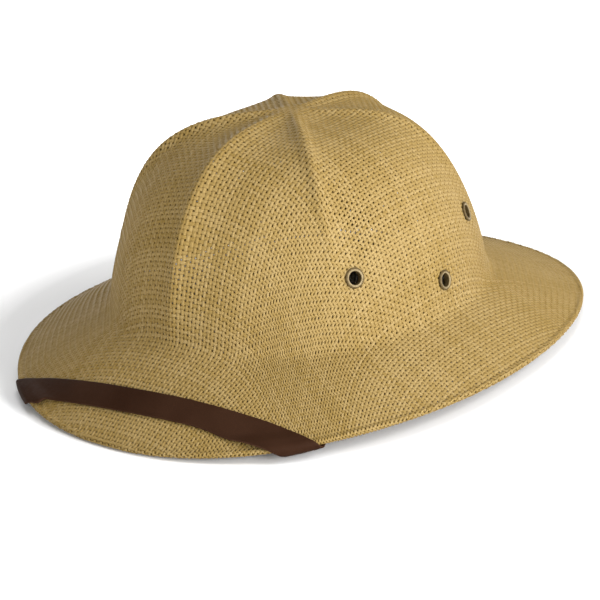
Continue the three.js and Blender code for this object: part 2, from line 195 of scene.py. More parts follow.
class WallForm:
    """The outer face of the wall as a surface, and a chart of it by angle and length from the top.

    STEP and TURN are the chart's steps in length and angle. It goes on BEYOND the rim: there it lies round the
    bead for HALF_TURNS half turns, a little CLOSER than the bead's half thickness, and then runs back under the
    brim. The bead's foot is SOFTENED. ASIDE, FURTHER and PROBE are the small steps that directions come from.
    """

    STEP = 0.5
    TURN = 0.5
    BEYOND = 14.0
    DOWN_STEPS = 900
    BEND_STEPS = 40
    ACROSS_STEPS = 240
    CLOSER = 0.8
    HALF_TURNS = 1.25
    SOFTENED = 0.12
    ASIDE = 0.5
    FURTHER = 0.01
    PROBE = 0.45

    def __init__(self, sizes: WallSizes) -> None:
        """Makes the chart.

        Args:
            sizes: the wall's sizes.
        """
        self.sizes = sizes
        self.angles = np.arange(0, 360, self.TURN)
        self._chart()

    def ridge_lift(self, angle: Array, down: Array, reach: Array) -> Array:
        """Gives how far the ridges lift the crown.

        Args:
            angle: degrees from the front.
            down: 0 at the top, 1 at the crease.
            reach: distance from the centre line.

        Returns:
            Lifts in millimetres.
        """
        k = self.sizes
        level = np.ones(np.broadcast(angle, down).shape)
        for r in k.ridges:
            off = np.radians((angle - r.at - r.lean * (1 - down) + 180) % 360 - 180)
            beyond = np.abs(off) > np.pi / 2
            side = np.where(beyond, reach * (1 + np.abs(off) - np.pi / 2), reach * np.sin(off))
            crest, foot = (np.exp(-((side / wide) ** 2)) for wide in (k.ridge_wide, 3 * k.ridge_wide))
            bump = r.keen * crest + (1 - r.keen) * foot
            level = level * (1 - r.share * bump * (1 - smooth(r.fades, r.gone, down)))
        return k.ridge_high * (1 - level)

    def crown(self, angle: Array, down: Array, ridged: bool = True) -> Array:
        """Gives points of the crown's outer face.

        Args:
            angle: degrees from the front.
            down: 0 at the top, 1 at the crease.
            ridged: whether the ridges are raised.

        Returns:
            Points along the last axis.
        """
        k = self.sizes
        angle, down = np.broadcast_arrays(np.asarray(angle, float), np.asarray(down, float))
        a = np.radians(angle)
        c, s = np.cos(a), np.sin(a)
        radius = k.crease.radius(angle)
        low = k.crease_high + k.crease_front * c
        full = k.full + k.full_front * c + k.full_ends * np.cos(2 * a)
        t = np.clip(down, 0, 1) * np.pi / 2
        out = np.sin(t) ** (2 / full)
        up = np.where(down >= 1, 0, np.maximum(np.cos(t), 0) ** (2 / k.flat))
        slope_out = full * np.maximum(out, 1e-9) ** (full - 1) / radius
        slope_up = k.flat * up ** (k.flat - 1) / (k.top - low)
        long = np.hypot(slope_out, slope_up)
        lift = self.ridge_lift(angle, down, radius * out) if ridged else np.zeros_like(long)
        reach = radius * out + lift * slope_out / long
        high = low + (k.top - low) * up + lift * slope_up / long + k.rest
        return np.stack([s * reach, -c * reach + k.top_back * (1 - out) + k.centre_back, high], -1)

    def brim(self, angle: Array, across: Array) -> Array:
        """Gives points of the brim's outer face.

        Args:
            angle: degrees from the front.
            across: 0 at the crease, 1 at the edge.

        Returns:
            Points along the last axis.
        """
        k = self.sizes
        angle, across = np.broadcast_arrays(np.asarray(angle, float), np.asarray(across, float))
        a = np.radians(angle)
        c, s = np.cos(a), np.sin(a)
        inner = self.crown(angle, np.ones_like(angle))
        r = k.edge.radius(angle)
        lift = s * s * (k.side_lift + k.front_lift * c) + k.corner_lift * np.sin(2 * a) ** 2
        edge = np.stack([s * r, -c * r + k.centre_back, lift + k.rest], -1)
        point = inner + (edge - inner) * across[..., None]
        risen = across - k.sag * across * (1 - across)
        point[..., 2] = inner[..., 2] + (edge[..., 2] - inner[..., 2]) * risen
        return point

    def brim_width(self, angle: Array) -> Array:
        """Gives the brim's width at angles from the front."""
        return np.linalg.norm(self.brim(angle, 1.0) - self.brim(angle, 0.0), axis=-1)

    def brim_frame(self, angle: Array, across: Array) -> tuple[Array, Array]:
        """Gives directions at points of the brim.

        Args:
            angle: degrees from the front.
            across: 0 at the crease, 1 at the edge.

        Returns:
            The outward normal and the direction out past the edge.
        """
        angle = np.asarray(angle, float)
        across = np.asarray(across, float)
        along = unit(self.brim(angle + self.ASIDE, across) - self.brim(angle - self.ASIDE, across))
        out = self.brim(angle, across + self.FURTHER) - self.brim(angle, across - self.FURTHER)
        normal = unit(np.cross(out, along))
        return normal, unit(np.cross(along, normal))

    def _chart(self) -> None:
        """Fills the tables: points with and without ridges, by angle and by length from the top."""
        k = self.sizes
        angle = self.angles[:, None]
        down = np.linspace(0, 1 - k.bend_crown, self.DOWN_STEPS)[None]
        across = np.linspace(0, 1, self.ACROSS_STEPS)[None]
        across = k.bend_brim + (1 + self.BEYOND / self.brim_width(angle) - k.bend_brim) * across
        t = np.linspace(0, 1, self.BEND_STEPS)[None, 1:-1, None]
        made = []
        for ridged in (False, True):
            start = self.crown(angle, 1 - k.bend_crown, ridged)
            corner, end = self.crown(angle, 1.0), self.brim(angle, k.bend_brim)
            bend = start * (1 - t) ** 2 + 2 * corner * t * (1 - t) + end * t * t
            made.append(np.concatenate([self.crown(angle, down, ridged), bend, self.brim(angle, across)], 1))
        lengths = [lengths_along(line) for line in made[0]]
        self.rim = np.array([np.interp(1.0, s, ln[-len(s) :]) for s, ln in zip(across, lengths)])
        self.lengths = np.arange(0, max(ln[-1] for ln in lengths), self.STEP)
        self.plain, self.raised = (
            np.stack([points_along(self.lengths, ln, line) for ln, line in zip(lengths, table)])
            for table in made
        )
        self._turn_edge()

    def _turn_edge(self) -> None:
        """Raises the last of the brim to a round bead and lays the chart beyond it round the bead."""
        k = self.sizes
        half = k.fold_thick / 2
        close = self.CLOSER * half
        share = 1 - half / self.brim_width(self.angles)
        normal, out = self.brim_frame(self.angles, share)
        centre = self.brim(self.angles, share) - normal * k.wall / 2
        past = self.lengths[None] - (self.rim[:, None] - half)
        rise = np.sqrt(np.maximum(half**2 - past**2, 0)) - k.wall / 2
        rise = np.logaddexp(0, rise / self.SOFTENED) * self.SOFTENED
        flat = self.raised + normal[:, None] * rise[..., None]
        bent = np.clip(past / close, 0, self.HALF_TURNS * math.pi)
        away = normal[:, None] * np.cos(bent)[..., None] + out[:, None] * np.sin(bent)[..., None]
        under = np.maximum(past - close * self.HALF_TURNS * math.pi, 0)
        turned = centre[:, None] + away * half - out[:, None] * under[..., None]
        self.raised = np.where((past > 0)[..., None], turned, flat)

    def at(self, place: Array, raised: bool = True) -> Array:
        """Gives points of the chart.

        Args:
            place: lengths from the top towards the wearer's left and towards the front, along the last axis.
            raised: whether ridges and the turned edge are in.

        Returns:
            Points along the last axis.
        """
        table = self.raised if raised else self.plain
        angle = np.degrees(np.arctan2(place[..., 0], place[..., 1])) % 360 / self.TURN
        row = np.clip(np.hypot(place[..., 0], place[..., 1]) / self.STEP, 0, len(self.lengths) - 1.001)
        i, j = np.floor(angle).astype(int), np.floor(row).astype(int)
        x, y = (angle - i)[..., None], (row - j)[..., None]
        i, n = i % len(self.angles), (i + 1) % len(self.angles)
        near, far = (table[i, r] * (1 - x) + table[n, r] * x for r in (j, j + 1))
        return near * (1 - y) + far * y

    def normal(self, place: Array) -> Array:
        """Gives outward normals at places of the chart.

        Args:
            place: places as in `at`.

        Returns:
            Unit vectors along the last axis.
        """
        left, fore = (self.at(place + p) - self.at(place - p) for p in np.eye(2) * self.PROBE)
        return unit(np.cross(fore, left))

    def inside_rim(self, place: Array) -> Array:
        """Gives how far inside the rim places of the chart are.

        Args:
            place: places as in `at`.

        Returns:
            Lengths in millimetres, negative beyond the rim.
        """
        angle = np.degrees(np.arctan2(place[..., 0], place[..., 1])) % 360
        rim = np.interp(angle, np.append(self.angles, 360), np.append(self.rim, self.rim[0]))
        return rim - np.hypot(place[..., 0], place[..., 1])


class PieceMesh:
    """Gathers quads, their texture coordinates and a value per point, and makes a Blender mesh of them."""

    def __init__(self) -> None:
        """Starts empty."""
        self.points: list[Array] = []
        self.quads: list[Array] = []
        self.cells: list[Array] = []
        self.yarns: list[Array] = []
        self.tones: list[Array] = []
        self.count = 0

    @staticmethod
    def _corners(u: Array, v: Array, i: Array, j: Array) -> Array:
        """Gives the two coordinates of each quad's corners.

        Args:
            u: the first coordinate at each place along.
            v: the second coordinate at each place around.
            i: the place along of each quad's first corner.
            j: its place around.

        Returns:
            Pairs, four to a quad.
        """
        along = np.stack([u[i], u[i], u[i + 1], u[i + 1]], -1)
        around = np.stack([v[j], v[j + 1], v[j + 1], v[j]], -1)
        return np.stack([along, around], -1).reshape(-1, 2)

    def skin(self, rings: Array, cell: Array, tone: Array, yarn: Array | None = None) -> None:
        """Adds the skin of a tube, which joins its own start where it has no yarn lengths.

        Args:
            rings: points, by place along and by place around.
            cell: two by two array, the lowest and highest corner of the tube's patch on the texture.
            tone: values of the points, as an array that spreads over them.
            yarn: lengths along the tube at each ring, for a tube with two ends.
        """
        n, m = rings.shape[:2]
        i, j = np.meshgrid(np.arange(n if yarn is None else n - 1), np.arange(m), indexing="ij")
        ni, nj = (i + 1) % n, (j + 1) % m
        quads = np.stack([i * m + j, i * m + nj, ni * m + nj, ni * m + j], -1)
        u = np.linspace(cell[0][0], cell[1][0], len(i) + 1)
        v = np.linspace(cell[0][1], cell[1][1], m + 1)
        self.quads.append(quads.reshape(-1, 4) + self.count)
        self.cells.append(self._corners(u, v, i, j))
        self.yarns.append(self.cells[-1] if yarn is None else self._corners(yarn, np.arange(m + 1) / m, i, j))
        self.points.append(rings.reshape(-1, 3))
        self.tones.append(np.broadcast_to(tone, (n, m)).ravel())
        self.count += n * m

    def tube(self, rings: Array, cell: Array, tone: Array, yarn: Array) -> None:
        """Adds a tube with both ends closed.

        Args:
            rings: points, by place along and by place around.
            cell: two by two array, the lowest and highest corner of the tube's patch on the texture.
            tone: values of the points, as an array that spreads over them.
            yarn: lengths along the tube at each ring.
        """
        n, m = rings.shape[:2]
        i = np.arange(m // 2 - 1)[:, None]
        cap = np.concatenate([i, m - 1 - i, m - 2 - i, i + 1], 1) + self.count
        self.skin(rings, cell, tone, yarn)
        for quads, corner, long in ((cap, cell[0], yarn[0]), (cap[:, ::-1] + (n - 1) * m, cell[1], yarn[-1])):
            self.quads.append(quads)
            self.cells.append(np.tile(corner, (quads.size, 1)))
            self.yarns.append(np.tile([long, 0.5], (quads.size, 1)))

    def make(self, name: str, material: bpy.types.Material, nodes: list[str]) -> None:
        """Makes the object, lets it ride on the frame and stand for its CAD nodes.

        Args:
            name: the object's name.
            material: its finish.
            nodes: names of the CAD nodes that it replaces.
        """
        points = (np.concatenate(self.points) * MM).astype(np.float32)
        quads = np.concatenate(self.quads).astype(np.int32)
        mesh = bpy.data.meshes.new(name)
        mesh.vertices.add(len(points))
        mesh.vertices.foreach_set("co", points.ravel())
        mesh.loops.add(quads.size)
        mesh.loops.foreach_set("vertex_index", quads.ravel())
        mesh.polygons.add(len(quads))
        mesh.polygons.foreach_set("loop_start", np.arange(0, quads.size, 4, dtype=np.int32))
        mesh.polygons.foreach_set("use_smooth", np.ones(len(quads), dtype=bool))
        mesh.update(calc_edges=True)
        for layer, data in (("OFBake", self.cells), ("Yarn", self.yarns)):
            uv = mesh.uv_layers.new(name=layer)
            uv.data.foreach_set("uv", np.concatenate(data).astype(np.float32).ravel())
        mesh.uv_layers.active = mesh.uv_layers["OFBake"]
        tone = mesh.attributes.new("tone", "FLOAT", "POINT")
        tone.data.foreach_set("value", np.concatenate(self.tones).astype(np.float32))
        mesh.materials.append(material)
        piece = bpy.data.objects.new(name, mesh)
        bpy.context.scene.collection.objects.link(piece)
        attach(piece, "root")
        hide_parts(*nodes)
        LOG.info("%s: %d points, %d triangles", name, len(points), 2 * len(quads))


class Shader:
    """A material's nodes, made and joined in short calls."""

    def __init__(self, name: str) -> None:
        """Starts a material with one principled shader.

        Args:
            name: the material's name.
        """
        self.material = bpy.data.materials.new(name)
        self.material.use_nodes = True
        self.tree = self.material.node_tree
        self.surface = self.tree.nodes["Principled BSDF"]

    def node(self, kind: str, inputs: dict, **settings: object) -> bpy.types.Node:
        """Adds a node.

        Args:
            kind: its type without the word ShaderNode.
            inputs: values or sockets by input name or number.
            **settings: the node's own settings.

        Returns:
            The node.
        """
        made = self.tree.nodes.new("ShaderNode" + kind)
        for key, value in settings.items():
            setattr(made, key, value)
        for key, value in inputs.items():
            self.put(made, key, value)
        return made

    def put(self, node: bpy.types.Node, key: str | int, value: object) -> None:
        """Sets or joins an input.

        Args:
            node: the node.
            key: the input's name or number.
            value: a value, or the socket that it comes from.
        """
        if isinstance(value, bpy.types.NodeSocket):
            self.tree.links.new(value, node.inputs[key])
        else:
            node.inputs[key].default_value = value

    def dress(self, inputs: dict) -> None:
        """Sets or joins inputs of the surface."""
        for key, value in inputs.items():
            self.put(self.surface, key, value)

    def mix(self, share: object, low: object, high: object) -> bpy.types.NodeSocket:
        """Mixes two colours, with `share` of the second."""
        return self.node("Mix", {0: share, 6: low, 7: high}, data_type="RGBA").outputs[2]

    def math(self, kind: str, first: object, second: object = 0.0) -> bpy.types.NodeSocket:
        """Works out a number from one or two others."""
        return self.node("Math", {0: first, 1: second}, operation=kind).outputs[0]

    def range(self, value: object, low: float, high: float, start: float, end: float) -> bpy.types.NodeSocket:
        """Turns a value between low and high into one between start and end."""
        return self.node("MapRange", {0: value, 1: low, 2: high, 3: start, 4: end}).outputs[0]

    def noise(self, place: object, scale: float, detail: float, rough: float) -> bpy.types.NodeSocket:
        """Gives noise at a place: how fine it is, how many finer layers it has and how strong these are."""
        inputs = {"Vector": place, "Scale": scale, "Detail": detail, "Roughness": rough}
        return self.node("TexNoise", inputs).outputs[0]

    def bump(self, strength: float, deep: float, height: object) -> bpy.types.NodeSocket:
        """Turns a height into small relief, so many millimetres deep."""
        return self.node("Bump", {"Strength": strength, "Distance": deep * MM, "Height": height}).outputs[0]

    def place(self) -> bpy.types.NodeSocket:
        """Gives the place on the object."""
        return self.node("TexCoord", {}).outputs["Object"]

    def tone(self) -> bpy.types.NodeSocket:
        """Gives the value that the mesh holds at its points."""
        return self.node("Attribute", {}, attribute_name="tone").outputs["Fac"]


@dataclass(frozen=True)
class StrawFinish:
    """Twisted paper yarn: dyed unevenly, with fine fibres, a dull sheen and painted shade on each thread's
    flanks and underside.
    """

    pale: tuple[float, float, float] = (0.306, 0.217, 0.088)
    dark: tuple[float, float, float] = (0.200, 0.126, 0.026)
    # edge: painted shade, the colour of each thread's flanks and underside where it dips between the others
    edge: tuple[float, float, float] = (0.140, 0.079, 0.012)
    rough: float = 0.6
    twist: float = 1.3
    relief: float = 0.12
    shine: float = 0.16

    def material(self) -> bpy.types.Material:
        """Makes the material.

        Returns:
            The material.
        """
        s = Shader("woven paper straw")
        place, tone = s.place(), s.tone()
        yarn = s.node("SeparateXYZ", {0: s.node("UVMap", {}, uv_map="Yarn").outputs[0]})
        long, turn = yarn.outputs[0], yarn.outputs[1]
        fibre = {0: s.math("MULTIPLY", long, 0.35), 1: s.math("MULTIPLY", turn, 5.0), 2: tone}
        fine = s.noise(s.node("CombineXYZ", fibre).outputs[0], 2.6, 4.0, 0.65)
        wide = s.noise(place, 26.0, 3.0, 0.55)
        share = s.math("ADD", s.math("MULTIPLY", fine, 0.55), s.math("MULTIPLY", wide, 0.35))
        share = s.math("ADD", share, s.math("MULTIPLY", tone, 0.35))
        colour = s.mix(s.range(share, 0.28, 0.92, 0.0, 1.0), (*self.dark, 1), (*self.pale, 1))
        # Painted shade: away from the middle of its top face, each thread darkens to the edge colour, as if
        # shaded in the gaps between threads.
        beside = s.math("ABSOLUTE", s.math("SUBTRACT", turn, 0.375))
        colour = s.mix(s.range(beside, 0.08, 0.34, 0.0, 1.0), colour, (*self.edge, 1))
        spiral = s.math("ADD", s.math("MULTIPLY", long, 1 / self.twist), turn)
        groove = s.math("SINE", s.math("MULTIPLY", spiral, 2 * math.pi))
        height = s.math("ADD", s.math("MULTIPLY", groove, 0.3), s.math("MULTIPLY", fine, 1.2))
        s.dress(
            {
                "Base Color": colour,
                "Roughness": s.range(fine, 0.3, 0.7, self.rough - 0.1, self.rough + 0.12),
                "Specular IOR Level": self.shine,
                "Normal": s.bump(0.55, self.relief, height),
            }
        )
        return s.material


@dataclass(frozen=True)
class StrapFinish:
    """Dark brown leatherette: fine grain, soft gloss, paler where its edges rub."""

    base: tuple[float, float, float] = (0.0215, 0.0080, 0.0034)
    worn: tuple[float, float, float] = (0.052, 0.024, 0.013)
    grain: float = 900.0
    relief: float = 0.12
    shine: float = 0.04

    def material(self) -> bpy.types.Material:
        """Makes the material.

        Returns:
            The material.
        """
        s = Shader("brown leatherette")
        place, tone = s.place(), s.tone()
        cells = s.node("TexVoronoi", {"Vector": place, "Scale": self.grain}, feature="DISTANCE_TO_EDGE")
        fine = s.noise(place, 420.0, 4.0, 0.6)
        wide = s.noise(place, 38.0, 3.0, 0.5)
        rubbed = s.math("MULTIPLY", s.range(tone, 0.35, 1.0, 0.0, 0.8), s.range(fine, 0.35, 0.7, 0.35, 1.0))
        body = s.mix(s.range(wide, 0.35, 0.7, 0.0, 0.3), (*self.base, 1), (*self.worn, 1))
        height = s.math("ADD", s.range(cells.outputs[0], 0.0, 0.25, 0.0, 0.7), s.math("MULTIPLY", fine, 0.8))
        s.dress(
            {
                "Base Color": s.mix(rubbed, body, (*self.worn, 1)),
                "Roughness": s.range(s.math("ADD", fine, wide), 0.7, 1.3, 0.50, 0.68),
                "Specular IOR Level": self.shine,
                "Normal": s.bump(0.5, self.relief, height),
            }
        )
        return s.material


@dataclass(frozen=True)
class BrassFinish:
    """Aged brass: rubbed pale on the crown of the ring, brown patina at its rim and down the barrel."""

    bright: tuple[float, float, float] = (0.29, 0.225, 0.12)
    patina: tuple[float, float, float] = (0.075, 0.046, 0.010)
    relief: float = 0.06
    metal: float = 0.5

    def material(self) -> bpy.types.Material:
        """Makes the material.

        Returns:
            The material.
        """
        s = Shader("aged brass")
        place, tone = s.place(), s.tone()
        spots = s.noise(place, 900.0, 4.0, 0.65)
        fine = s.noise(place, 3200.0, 2.0, 0.5)
        old = s.math("ADD", s.math("MULTIPLY", tone, 0.9), s.range(spots, 0.35, 0.75, -0.08, 0.38))
        s.dress(
            {
                "Base Color": s.mix(old, (*self.bright, 1), (*self.patina, 1)),
                "Metallic": self.metal,
                "Roughness": s.range(s.math("ADD", old, fine), 0.4, 1.4, 0.55, 0.75),
                "Normal": s.bump(0.35, self.relief, s.math("ADD", spots, fine)),
            }
        )
        return s.material


@dataclass(frozen=True)
class EyeletPlace:
    """One vent: its name, degrees from the front and place on the way down the crown."""

    name: str
    angle: float
    down: float


@dataclass(frozen=True)
class EyeletSizes:
    """Sizes of the vent eyelets and their places on one side.

    The roll is drawn from one angle to another round its middle; `aged` is how brown the brass is on the way.
    """

    flange: float = 5.15
    hole: float = 3.3
    barrel: float = 3.75
    under: float = 0.4
    proud: float = 1.05
    back: float = -2.6
    segments: int = 56
    roll_from: float = -32.0
    roll_to: float = 200.0
    roll_high: float = 0.42
    roll_low: float = 0.35
    slack: float = 0.25
    aged: tuple[float, ...] = (1.0, 1.0, 1.0, 1.0, 1.0, 0.95, 0.9, 0.7, 0.3, 0.0, 0.3, 0.85, 1.0, 1.0, 1.0)
    places: tuple[EyeletPlace, ...] = (
        EyeletPlace("front", 54.4, 0.67),
        EyeletPlace("middle", 93.8, 0.801),
        EyeletPlace("rear", 124.0, 0.628),
    )


class Eyelets:
    """The six brass vent eyelets: a rolled ring outside, a barrel through the wall, a flat ring inside.

    ASIDE and LOWER are the small steps that a seat's directions come from. Only threads NEAR a seat are cut.
    """

    ASIDE = 2.0
    LOWER = 0.02
    NEAR = 25.0

    def __init__(self, form: WallForm, sizes: EyeletSizes) -> None:
        """Finds where each eyelet sits.

        Args:
            form: the wall's surface.
            sizes: the eyelets' sizes.
        """
        self.form = form
        self.sizes = sizes
        self.seats: dict[str, tuple[Array, Array]] = {}
        for side in Side:
            for place in sizes.places:
                name = f"eyelet_{side.name.lower()}_{place.name}"
                self.seats[name] = self._seat(side.value * place.angle, place.down)

    def _seat(self, angle: float, down: float) -> tuple[Array, Array]:
        """Finds an eyelet's seat.

        Args:
            angle: degrees from the front.
            down: place on the way down the crown.

        Returns:
            The middle of its hole on the outer face, and the outward normal.
        """
        along = self.form.crown(angle + self.ASIDE, down) - self.form.crown(angle - self.ASIDE, down)
        lower = self.form.crown(angle, down + self.LOWER) - self.form.crown(angle, down - self.LOWER)
        return self.form.crown(angle, down), unit(np.cross(lower, along))

    def clear(self, points: Array) -> Array:
        """Gives how far points are from the barrels.

        Args:
            points: points along the last axis.

        Returns:
            Distances outside the nearest barrel, negative within.
        """
        best = np.full(points.shape[:-1], np.inf)
        for middle, normal in self.seats.values():
            gap = points - middle
            near = np.linalg.norm(gap, axis=-1) < self.NEAR
            radial = np.linalg.norm(gap - (gap @ normal)[..., None] * normal, axis=-1)
            best = np.where(near, np.minimum(best, radial - self.sizes.barrel - self.sizes.slack), best)
        return best

    def _profile(self) -> tuple[Array, Array]:
        """Draws half of the eyelet's section.

        Returns:
            Radii and heights round the section, and how aged the brass is there.
        """
        k = self.sizes
        middle = (k.flange + k.hole) / 2
        roll = [
            (
                middle + (k.flange - middle) * math.cos(t),
                k.roll_high + (k.proud - k.roll_high) * max(math.sin(t), -k.roll_low),
            )
            for t in np.radians(np.linspace(k.roll_from, k.roll_to, len(k.aged)))
        ]
        barrel = [(k.hole, -0.6), (k.hole, -1.5), (k.hole, k.back + 0.25), (k.hole + 0.2, k.back - 0.05)]
        lip = k.flange - 0.4
        inside = [(k.flange - 0.75, k.back - 0.05), (lip, k.back + 0.12), (lip, k.back + 0.38)]
        shank = [(k.barrel, k.back + 0.45), (k.barrel, k.under - 0.02)]
        section = np.array([*roll, *barrel, *inside, *shank])
        return section, np.array([*k.aged, *[1.0] * (len(section) - len(k.aged))])

    def build(self, material: bpy.types.Material) -> None:
        """Makes the eyelets.

        Args:
            material: their finish.
        """
        section, aged = self._profile()
        turns = np.linspace(0, 2 * np.pi, self.sizes.segments, endpoint=False)
        for name, (middle, normal) in self.seats.items():
            first = unit(np.cross(normal, [0.0, 0.0, 1.0]))
            second = np.cross(normal, first)
            spoke = np.cos(turns)[:, None] * first + np.sin(turns)[:, None] * second
            rings = middle + spoke[:, None] * section[None, :, :1] + normal * section[None, :, 1:]
            piece = PieceMesh()
            piece.skin(rings[:, ::-1], np.array([[0.02, 0.02], [0.98, 0.98]]), aged[::-1])
            piece.make(name + "_ring", material, [name])


@dataclass(frozen=True)
class OpenPlace:
    """A place in the chart where the pressing has thinned the threads, or spread them if `lost` is negative.

    `reach` is how far it goes, and `lost` the share of the width that is lost in its middle.
    """

    left: float
    front: float
    reach: float
    lost: float


@dataclass(frozen=True)
class WeaveSizes:
    """Sizes of the plain weave, and how unevenly its threads are spun, laid and dyed."""

    pitch_across: float = 2.08
    pitch_along: float = 2.36
    brim_closer: float = 0.2
    brim_zone: tuple[float, float] = (150, 195)
    side_wider: float = 0.4
    side_zone: tuple[float, float] = (40, 90)
    corner_closer: float = 0.24
    corner_zone: tuple[float, float] = (150, 185)
    full_warp: float = 1.0
    full_weft: float = 0.99
    widest: float = 1.3
    crimp: float = 0.24
    above: float = 0.32
    below: float = 0.15
    waist: float = 0.92
    slant: float = 0.11
    turned: float = 4.0
    top_share: float = 0.64
    uneven_thread: float = 0.05
    uneven_place: float = 0.035
    astray_thread: float = 0.05
    astray_place: float = 0.03
    tone_wave: float = 0.12
    tone_spread: float = 0.05
    seed: int = 7
    open_places: tuple[OpenPlace, ...] = (
        OpenPlace(9, 126, 15, 0.10),
        OpenPlace(9, 105, 9, -0.07),
        OpenPlace(-70, 72, 46, 0.13),
        OpenPlace(-125, 62, 42, 0.11),
        OpenPlace(66, 44, 11, 0.08),
        OpenPlace(80, 46, 15, 0.14),
        OpenPlace(69, 1, 10, 0.08),
        OpenPlace(-69, 3, 12, 0.08),
        OpenPlace(152, 62, 14, 0.06),
        OpenPlace(136, -29, 10, 0.06),
        OpenPlace(30, -110, 16, 0.10),
        OpenPlace(-48, -98, 14, 0.08),
    )


class Family(Enum):
    """The two sets of threads: fore and aft, and side to side."""

    WARP = 0
    WEFT = 1


